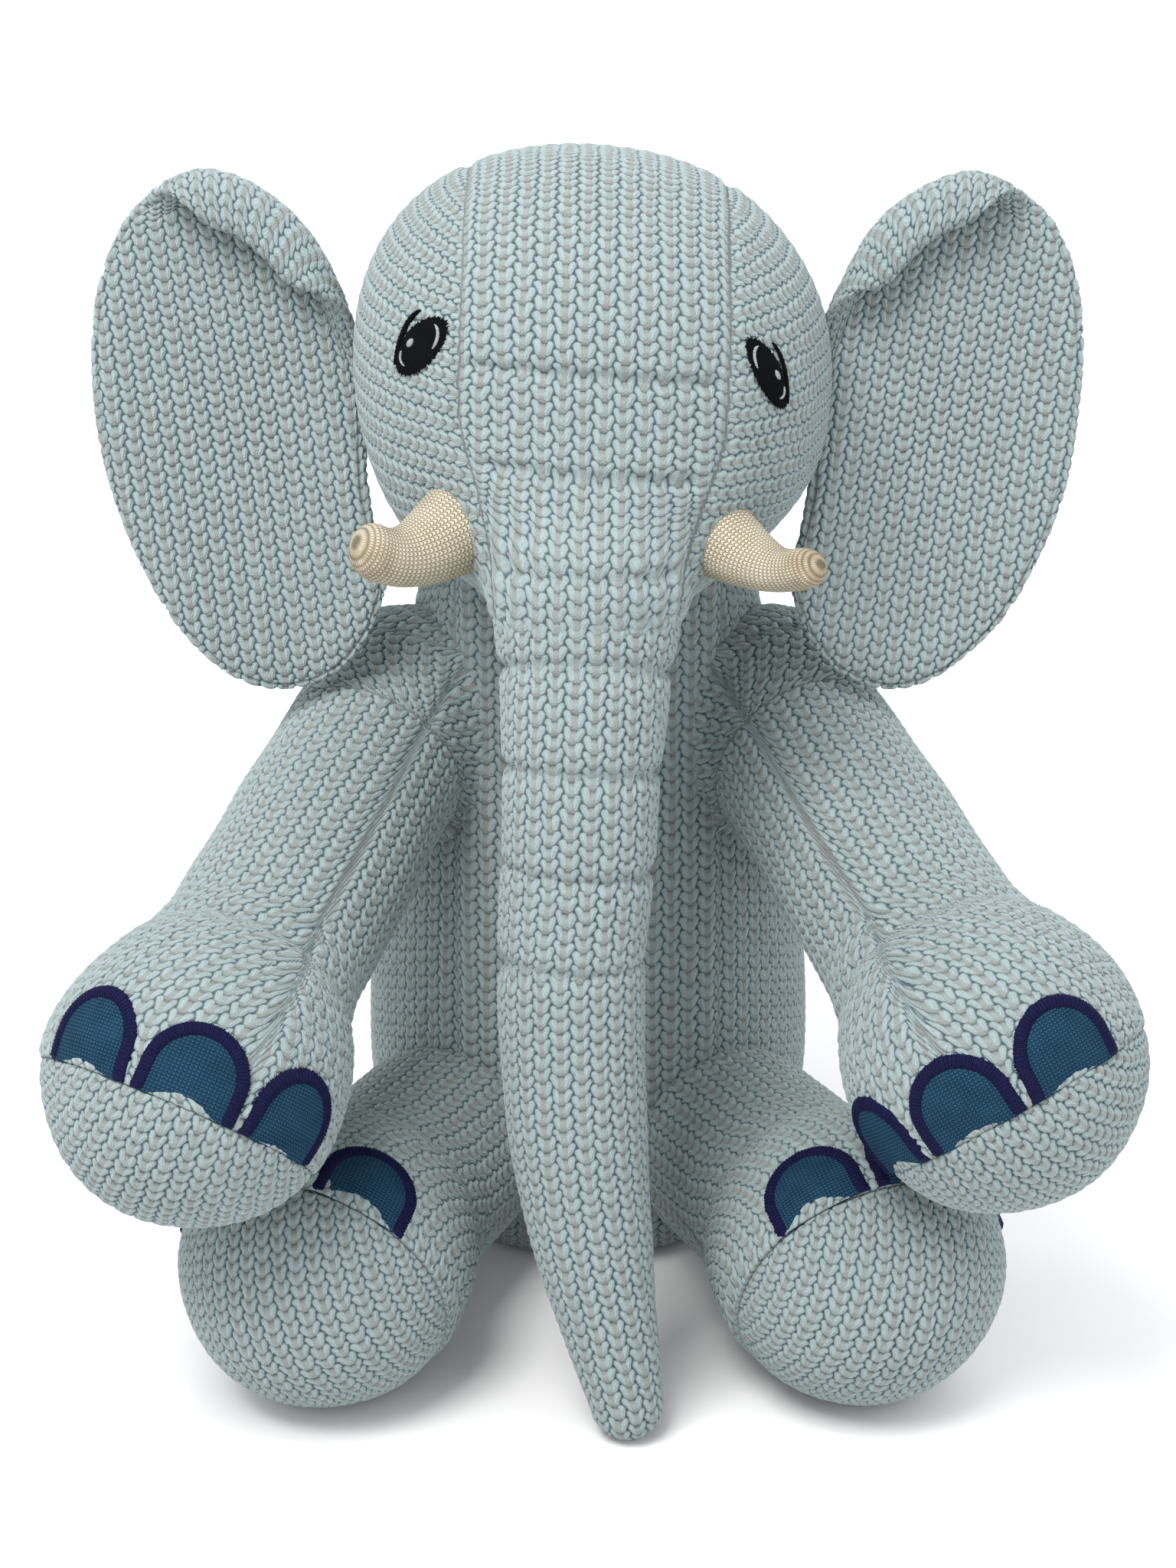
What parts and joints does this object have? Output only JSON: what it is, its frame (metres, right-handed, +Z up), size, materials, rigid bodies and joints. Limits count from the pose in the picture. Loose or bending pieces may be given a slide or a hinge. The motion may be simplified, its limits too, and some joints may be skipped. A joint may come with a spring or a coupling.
{
  "type": "stuffed elephant",
  "caption": "Knitted stuffed elephant sitting upright, with big flapping ears, a long tucked trunk, cream tusks, splayed soft legs and appliqued blue nails.",
  "frame": {"origin": "middle of the outline box, on the surface that the seated elephant rests on", "axes": "+Z up, the elephant looks along -Y, +X is its own left side"},
  "size_m": [0.2555, 0.2464, 0.294],
  "materials": {
    "knit": "matte",
    "tusk_jersey": "matte",
    "nail_jersey": "matte",
    "satin_thread": "satin",
    "eye_thread": "satin",
    "stuffing": "matte",
    "pellet_cloth": "matte"
  },
  "bodies": {
    "torso": {"belly_panel": "knit", "body_side_right": "knit", "body_side_left": "knit", "seat_panel": "knit", "body_filling": "stuffing", "pellet_bag": "pellet_cloth"},
    "head": {"head_gusset": "knit", "head_side_right": "knit", "head_side_left": "knit", "head_filling": "stuffing", "eye_right": "eye_thread", "eye_left": "eye_thread", "tusk_right": "tusk_jersey", "tusk_left": "tusk_jersey", "tusk_right_filling": "stuffing", "tusk_left_filling": "stuffing"},
    "ear_right": {"ear_right_front": "knit", "ear_right_back": "knit", "ear_right_wadding": "stuffing"},
    "ear_left": {"ear_left_front": "knit", "ear_left_back": "knit", "ear_left_wadding": "stuffing"},
    "trunk_1": {"trunk_cover_1": "knit", "trunk_filling_1": "stuffing"},
    "trunk_2": {"trunk_cover_2": "knit", "trunk_filling_2": "stuffing"},
    "trunk_3": {"trunk_cover_3": "knit", "trunk_filling_3": "stuffing"},
    "trunk_4": {"trunk_cover_4": "knit", "trunk_filling_4": "stuffing"},
    "trunk_5": {"trunk_cover_5": "knit", "trunk_filling_5": "stuffing"},
    "front_leg_right": {"front_leg_right_cover": "knit", "front_leg_right_sole": "knit", "front_leg_right_filling": "stuffing", "front_leg_right_nails": "nail_jersey", "front_leg_right_nail_borders": "satin_thread"},
    "front_leg_left": {"front_leg_left_cover": "knit", "front_leg_left_sole": "knit", "front_leg_left_filling": "stuffing", "front_leg_left_nails": "nail_jersey", "front_leg_left_nail_borders": "satin_thread"},
    "hind_leg_right": {"hind_leg_right_cover": "knit", "hind_leg_right_sole": "knit", "hind_leg_right_filling": "stuffing", "hind_leg_right_nails": "nail_jersey", "hind_leg_right_nail_borders": "satin_thread"},
    "hind_leg_left": {"hind_leg_left_cover": "knit", "hind_leg_left_sole": "knit", "hind_leg_left_filling": "stuffing", "hind_leg_left_nails": "nail_jersey", "hind_leg_left_nail_borders": "satin_thread"},
    "tail": {"tail_cover": "knit", "tail_filling": "stuffing"}
  },
  "joints": [
    {"name": "head_nod", "type": "hinge", "parent": "torso", "child": "head", "pos_m": [0, 0.025, 0.19], "axis": [-1, 0, 0], "range_deg": [-4, 15], "stiffness_Nm_per_rad": 2},
    {"name": "ear_flap_right", "type": "hinge", "parent": "head", "child": "ear_right", "pos_m": [-0.0585, 0.011, 0.225], "axis": [0, 0.1961, 0.9806], "range_deg": [-5, 10], "stiffness_Nm_per_rad": 0.05},
    {"name": "ear_flap_left", "type": "hinge", "parent": "head", "child": "ear_left", "pos_m": [0.0585, 0.011, 0.225], "axis": [0, -0.1961, -0.9806], "range_deg": [-5, 10], "stiffness_Nm_per_rad": 0.05},
    {"name": "trunk_curl_1", "type": "hinge", "parent": "head", "child": "trunk_1", "pos_m": [0, -0.049, 0.205], "axis": [-1, 0, 0], "range_deg": [-3, 20], "stiffness_Nm_per_rad": 0.2},
    {"name": "trunk_curl_2", "type": "hinge", "parent": "trunk_1", "child": "trunk_2", "pos_m": [-0.0005, -0.056, 0.188], "axis": [-1, 0, 0], "range_deg": [-3, 20], "stiffness_Nm_per_rad": 0.2},
    {"name": "trunk_curl_3", "type": "hinge", "parent": "trunk_2", "child": "trunk_3", "pos_m": [-0.0014, -0.062, 0.166], "axis": [-1, 0, 0], "range_deg": [-3, 20], "stiffness_Nm_per_rad": 0.2},
    {"name": "trunk_curl_4", "type": "hinge", "parent": "trunk_3", "child": "trunk_4", "pos_m": [-0.0023, -0.066, 0.143], "axis": [-1, 0, 0], "range_deg": [-3, 20], "stiffness_Nm_per_rad": 0.2},
    {"name": "trunk_curl_5", "type": "hinge", "parent": "trunk_4", "child": "trunk_5", "pos_m": [-0.004, -0.07, 0.121], "axis": [-1, 0, 0], "range_deg": [-3, 20], "stiffness_Nm_per_rad": 0.2},
    {"name": "front_leg_swing_right", "type": "hinge", "parent": "torso", "child": "front_leg_right", "pos_m": [-0.047, 0.029, 0.148], "axis": [0, 0, -1], "range_deg": [0, 25], "stiffness_Nm_per_rad": 0.3},
    {"name": "front_leg_swing_left", "type": "hinge", "parent": "torso", "child": "front_leg_left", "pos_m": [0.047, 0.029, 0.148], "axis": [0, 0, 1], "range_deg": [0, 25], "stiffness_Nm_per_rad": 0.3},
    {"name": "hind_leg_splay_right", "type": "hinge", "parent": "torso", "child": "hind_leg_right", "pos_m": [-0.039, -0.003, 0.035], "axis": [0, 0, -1], "range_deg": [0, 25], "stiffness_Nm_per_rad": 0.3},
    {"name": "hind_leg_splay_left", "type": "hinge", "parent": "torso", "child": "hind_leg_left", "pos_m": [0.039, -0.003, 0.035], "axis": [0, 0, 1], "range_deg": [0, 25], "stiffness_Nm_per_rad": 0.3},
    {"name": "tail_swing", "type": "hinge", "parent": "torso", "child": "tail", "pos_m": [0, 0.112, 0.062], "axis": [1, 0, 0], "range_deg": [-5, 40], "stiffness_Nm_per_rad": 0.01}
  ]
}
